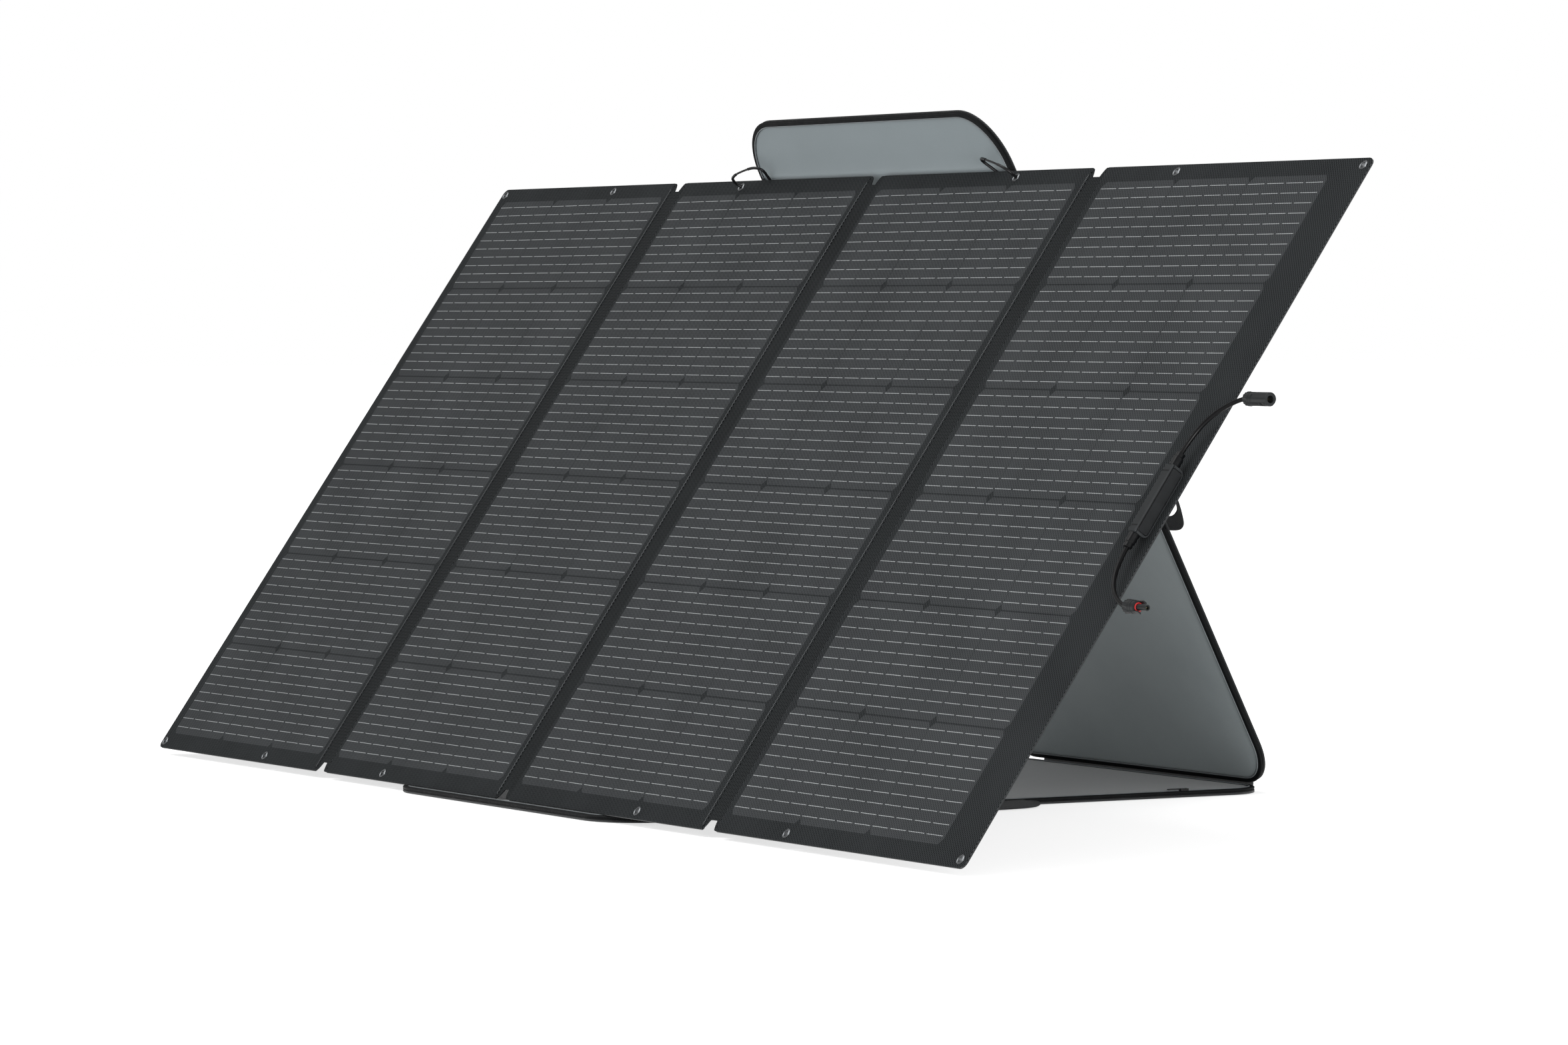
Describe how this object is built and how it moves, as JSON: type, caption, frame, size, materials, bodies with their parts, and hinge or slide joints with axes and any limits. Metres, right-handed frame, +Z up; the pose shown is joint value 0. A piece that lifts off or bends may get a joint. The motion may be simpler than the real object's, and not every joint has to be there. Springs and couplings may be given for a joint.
{
  "type": "folding solar panel",
  "caption": "Folding solar panel standing tilted on its own opened carrying case, hooked to the raised half, with a junction box and two leads on its right edge.",
  "frame": {"origin": "on the floor, midway along the unfolded panel's width and midway between the case's front edge and the back of its spine", "axes": "+X to the panel's right seen from its front, along its unfolded width; +Y from the panel's lit side to its rear; +Z up"},
  "size_m": [2.467, 1.0795, 0.9639],
  "materials": {
    "film": "satin laminate film over the cells",
    "cell": "dark silicon cells",
    "board": "glass-fibre backing board",
    "fold_fabric": "woven fold strip",
    "steel": "nickel-plated eyelets",
    "hook": "black coated wire and slider",
    "box": "grey-black moulded plastic",
    "gland": "black cable glands",
    "cable": "black cable jacket",
    "connector": "black moulded connector",
    "contact": "plated contact",
    "seal": "red seal ring",
    "circuit": "circuit board with diodes",
    "shell": "stiffened outer fabric",
    "binding": "black rubberised binding",
    "lining": "grey smooth lining",
    "webbing": "black webbing"
  },
  "bodies": {
    "base": {"base_shell": "shell", "base_rim": "binding", "base_lining": "lining", "spine_strip": "binding", "base_handle": "webbing"},
    "zip": {"zip_slider": "hook"},
    "leg": {"leg_shell": "shell", "leg_rim": "binding", "leg_lining": "lining", "leg_handle": "webbing", "hook_left": "hook", "hook_right": "hook", "hook_loop_left": "webbing", "hook_loop_right": "webbing"},
    "gate_left": {"hook_gate_left": "hook"},
    "gate_right": {"hook_gate_right": "hook"},
    "centre": {"front_film_2": "film", "front_film_3": "film", "cell_sheet_2": "cell", "cell_sheet_3": "cell", "backing_board_2": "board", "backing_board_3": "board", "fold_fabric_1": "fold_fabric", "fold_fabric_2": "fold_fabric", "fold_fabric_3": "fold_fabric", "grommet_lower_3": "steel", "grommet_upper_3": "steel", "grommet_lower_4": "steel", "grommet_upper_4": "steel"},
    "left_wing": {"front_film_1": "film", "cell_sheet_1": "cell", "backing_board_1": "board", "grommet_lower_1": "steel", "grommet_lower_2": "steel", "grommet_upper_1": "steel", "grommet_upper_2": "steel"},
    "right_wing": {"front_film_4": "film", "cell_sheet_4": "cell", "backing_board_4": "board", "grommet_lower_5": "steel", "grommet_lower_6": "steel", "grommet_upper_5": "steel", "grommet_upper_6": "steel", "junction_box_body": "box", "junction_box_lid": "box", "diode_board": "circuit", "cable_gland_lower": "gland", "cable_gland_upper": "gland", "lead_lower": "cable", "lead_upper": "cable", "socket_nut": "connector", "socket_body": "connector", "socket_contact": "contact", "plug_nut": "connector", "plug_body": "connector", "plug_seal": "seal", "plug_pin": "contact"}
  },
  "joints": [
    {"name": "leg_tilt", "type": "hinge", "parent": "base", "child": "leg", "pos_m": [-0.031, 0.52725, 0.009], "axis": [-1, 0, 0], "range_deg": [0, 12]},
    {"name": "panel_swing", "type": "hinge", "parent": "leg", "child": "centre", "pos_m": [-0.031, 0.07269, 0.86737], "axis": [1, 0, 0], "range_deg": [0, 20]},
    {"name": "left_fold", "type": "hinge", "parent": "centre", "child": "left_wing", "pos_m": [-0.6069, -0.22459, 0.44378], "axis": [0, 0.5736, 0.8192], "range_deg": [0, 165]},
    {"name": "right_fold", "type": "hinge", "parent": "centre", "child": "right_wing", "pos_m": [0.5545, -0.22459, 0.44378], "axis": [0, -0.5736, -0.8192], "range_deg": [0, 150]},
    {"name": "left_gate", "type": "hinge", "parent": "leg", "child": "gate_left", "pos_m": [-0.3635, 0.05387, 0.89272], "axis": [0.1994, -0.5621, -0.8027], "range_deg": [0, 25], "stiffness_Nm_per_rad": 0.06, "springref_deg": -17.19},
    {"name": "right_gate", "type": "hinge", "parent": "leg", "child": "gate_right", "pos_m": [0.3015, 0.05387, 0.89272], "axis": [0.1994, 0.5621, 0.8027], "range_deg": [0, 25], "stiffness_Nm_per_rad": 0.06, "springref_deg": -17.19},
    {"name": "zip_slide", "type": "slide", "parent": "base", "child": "zip", "axis": [0, -1, 0], "range_m": [0, 0.4]}
  ],
  "couplings": [
    {"joint": "panel_swing", "follows": "leg_tilt", "ratio": 1.66}
  ]
}
